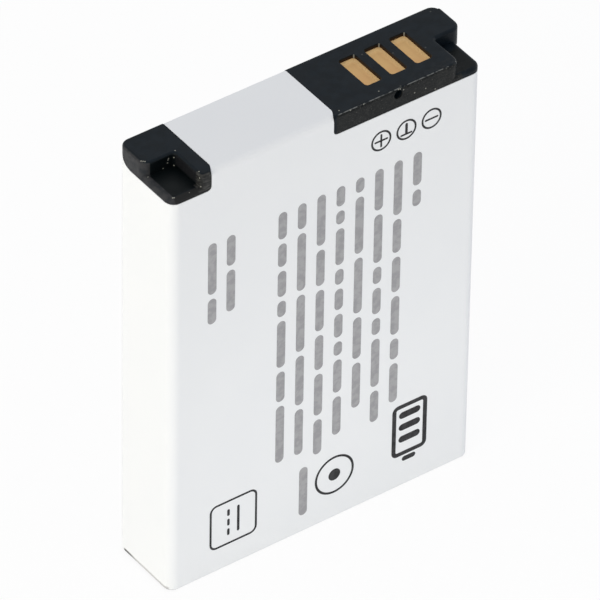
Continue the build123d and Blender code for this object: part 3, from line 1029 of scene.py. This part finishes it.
class BATTERY_OT_symbols(bpy.types.Operator):
    """Print plain pictograms at the foot of the front"""

    bl_idname = "battery.symbols"
    bl_label = "Pictograms"

    def execute(self, context):
        signs = context.scene.battery_signs
        ink_height = context.scene.battery_print.ink_height
        form = bmesh.new()
        self.print_cell(form, signs, ink_height)
        self.print_target(form, signs, ink_height)
        self.print_direct_current(form, signs, ink_height)
        new_piece("print_pictograms", form, dark_ink(context.scene.battery_finish))
        return {"FINISHED"}

    def print_cell(self, form, signs, ink_height):
        """Outline of a cell with its terminal downwards, and charge bars in it."""
        x, z = signs.cell_place
        height = signs.cell_height
        top = z + height / 2
        terminal = (x, z - height / 2 - signs.terminal_drop)
        print_frame(form, (x, z), signs.cell_width, height, signs.cell_corner, signs.cell_stroke, ink_height)
        print_level(form, terminal, signs.terminal_width, signs.terminal_stroke, ink_height)
        for step in range(signs.charge_bars):
            centre = (x, top - signs.charge_drop - step * signs.charge_pitch)
            print_level(form, centre, signs.charge_width, signs.charge_stroke, ink_height)

    def print_target(self, form, signs, ink_height):
        """Ring with a dot in its middle."""
        print_ring(form, signs.target_place, signs.target_diameter, signs.target_stroke, ink_height)
        print_area(form, circle(signs.target_place, signs.target_dot), ink_height)

    def print_direct_current(self, form, signs, ink_height):
        """Rounded square round one long bar and three dashes."""
        x, z = signs.current_place
        side = signs.current_side
        stroke = signs.current_stroke
        print_frame(form, (x, z), side, side, signs.current_corner, signs.current_frame, ink_height)
        print_upright(form, (x + signs.current_shift, z), signs.current_bar, stroke, ink_height)
        for step in (-1, 0, 1):
            centre = (x - signs.current_shift, z + step * signs.current_pitch)
            print_upright(form, centre, signs.current_dash, stroke, ink_height)


class BATTERY_OT_stage(bpy.types.Operator):
    """Set the floor, the soft light and the camera"""

    bl_idname = "battery.stage"
    bl_label = "Stage"

    def execute(self, context):
        scene = context.scene
        stage = scene.battery_stage
        scene.view_settings.view_transform = "Standard"
        self.light_sky(scene, stage)
        self.lay_floor(scene, stage)
        square = (stage.softbox_side, stage.softbox_side)
        for name, power, tint, way in (
            ("key_softbox", stage.key, stage.key_tint, stage.key_way),
            ("rim_softbox", stage.rim, stage.key_tint, stage.rim_way),
            ("fill_softbox", stage.fill, WHITE, stage.fill_way),
        ):
            place = MIDDLE + stage.softbox_distance * Vector(way)
            self.hang_softbox(scene, name, power, tint, square, place)
        strip = (stage.strip_length, stage.strip_width)
        before = Vector((0.0, FRONT - stage.strip_gap, stage.strip_level))
        self.hang_softbox(scene, "low_strip", stage.strip, WHITE, strip, before)
        self.set_camera(scene, stage)
        return {"FINISHED"}

    def light_sky(self, scene, stage):
        """Soft light, a little cooler from above, which looks plain white in reflections."""
        world = bpy.data.worlds.new("studio")
        scene.world = world
        world.use_nodes = True
        tree = world.node_tree
        tree.nodes.clear()
        height = compute(tree, "MAXIMUM", axes(tree, coordinates(tree, "Generated"))["Z"], 0.0)
        dome = mix_colours(tree, height, rgba(stage.horizon), rgba(stage.zenith))
        lit = add_node(tree, "ShaderNodeBackground", Color=dome, Strength=1.0)
        seen = add_node(tree, "ShaderNodeBackground", Color=rgba(WHITE), Strength=1.0)
        sky = mix_shaders(tree, self.seen_directly(tree), lit.outputs[0], seen.outputs[0])
        add_node(tree, "ShaderNodeOutputWorld", Surface=sky)

    def seen_directly(self, tree):
        """One for a ray from the camera, a reflection or through glass, and nought for light."""
        path = tree.nodes.new("ShaderNodeLightPath").outputs
        return any_of(tree, (path["Is Camera Ray"], path["Is Glossy Ray"], path["Is Transmission Ray"]))

    def lay_floor(self, scene, stage):
        """Wide floor just under the battery."""
        form = bmesh.new()
        bmesh.ops.create_grid(form, x_segments=FLOOR_CELLS, y_segments=FLOOR_CELLS, size=FLOOR_REACH)
        mesh = bpy.data.meshes.new("floor")
        form.to_mesh(mesh)
        form.free()
        floor = bpy.data.objects.new("floor", mesh)
        floor.location.z = -stage.floor_gap
        scene.collection.objects.link(floor)
        mesh.materials.append(self.floor_material(stage))

    def floor_material(self, stage):
        """Pale floor, whitened for the camera so that a soft shadow stays, and clear from below."""
        material, tree, surface = blank_material("floor_pale")
        lit = add_node(tree, "ShaderNodeBsdfDiffuse", Color=rgba(stage.floor))
        white = add_node(tree, "ShaderNodeEmission", Color=rgba(WHITE), Strength=1.0)
        clear = tree.nodes.new("ShaderNodeBsdfTransparent")
        share = product(tree, self.seen_directly(tree), stage.floor_glow)
        whitened = mix_shaders(tree, share, lit.outputs[0], white.outputs[0])
        below = tree.nodes.new("ShaderNodeNewGeometry").outputs["Backfacing"]
        feed(tree, surface, mix_shaders(tree, below, whitened, clear.outputs[0]))
        return material

    def hang_softbox(self, scene, name, power, tint, size, place):
        """Softbox at a place, which faces the middle of the battery."""
        lamp = bpy.data.lights.new(name, "AREA")
        lamp.energy = power
        lamp.color = tint
        lamp.shape = "RECTANGLE"
        lamp.size, lamp.size_y = size
        holder = bpy.data.objects.new(name, lamp)
        holder.location = place
        holder.rotation_mode = "QUATERNION"
        holder.rotation_quaternion = (MIDDLE - place).to_track_quat("-Z", "Y")
        holder.visible_camera = False
        scene.collection.objects.link(holder)

    def set_camera(self, scene, stage):
        """Long lens from the front left, looking down on the contacts."""
        lens = bpy.data.cameras.new("camera")
        lens.lens = stage.lens
        camera = bpy.data.objects.new("camera", lens)
        camera.location = stage.camera_place
        camera.rotation_euler = stage.camera_turn
        scene.collection.objects.link(camera)
        scene.camera = camera


GROUPS = {
    "battery_finish": BatteryFinish,
    "battery_wear": BatteryWear,
    "battery_print": BatteryPrint,
    "battery_signs": BatterySigns,
    "battery_stage": BatteryStage,
}

STEPS = (
    BATTERY_OT_case,
    BATTERY_OT_film,
    BATTERY_OT_contacts,
    BATTERY_OT_cell,
    BATTERY_OT_board,
    BATTERY_OT_marks,
    BATTERY_OT_lines,
    BATTERY_OT_symbols,
    BATTERY_OT_stage,
)


class BATTERY_PT_bench(bpy.types.Panel):
    """Steps that finish the battery, with their sizes and colours"""

    bl_label = "Camera battery"
    bl_idname = "BATTERY_PT_bench"
    bl_space_type = "VIEW_3D"
    bl_region_type = "UI"
    bl_category = "Battery"

    def draw(self, context):
        for step in STEPS:
            self.layout.operator(step.bl_idname)
        for name, group in GROUPS.items():
            box = self.layout.box()
            for label in group.__annotations__:
                box.prop(getattr(context.scene, name), label)


CLASSES = (*GROUPS.values(), *STEPS, BATTERY_PT_bench)


def register():
    for cls in CLASSES:
        bpy.utils.register_class(cls)
    for name, group in GROUPS.items():
        setattr(bpy.types.Scene, name, PointerProperty(type=group))


def unregister():
    for name in GROUPS:
        delattr(bpy.types.Scene, name)
    for cls in reversed(CLASSES):
        bpy.utils.unregister_class(cls)


def main():
    register()
    bpy.ops.battery.case()
    bpy.ops.battery.film()
    bpy.ops.battery.contacts()
    bpy.ops.battery.cell()
    bpy.ops.battery.board()
    bpy.ops.battery.marks()
    bpy.ops.battery.lines()
    bpy.ops.battery.symbols()
    bpy.ops.battery.stage()


if __name__ == "__main__":
    main()
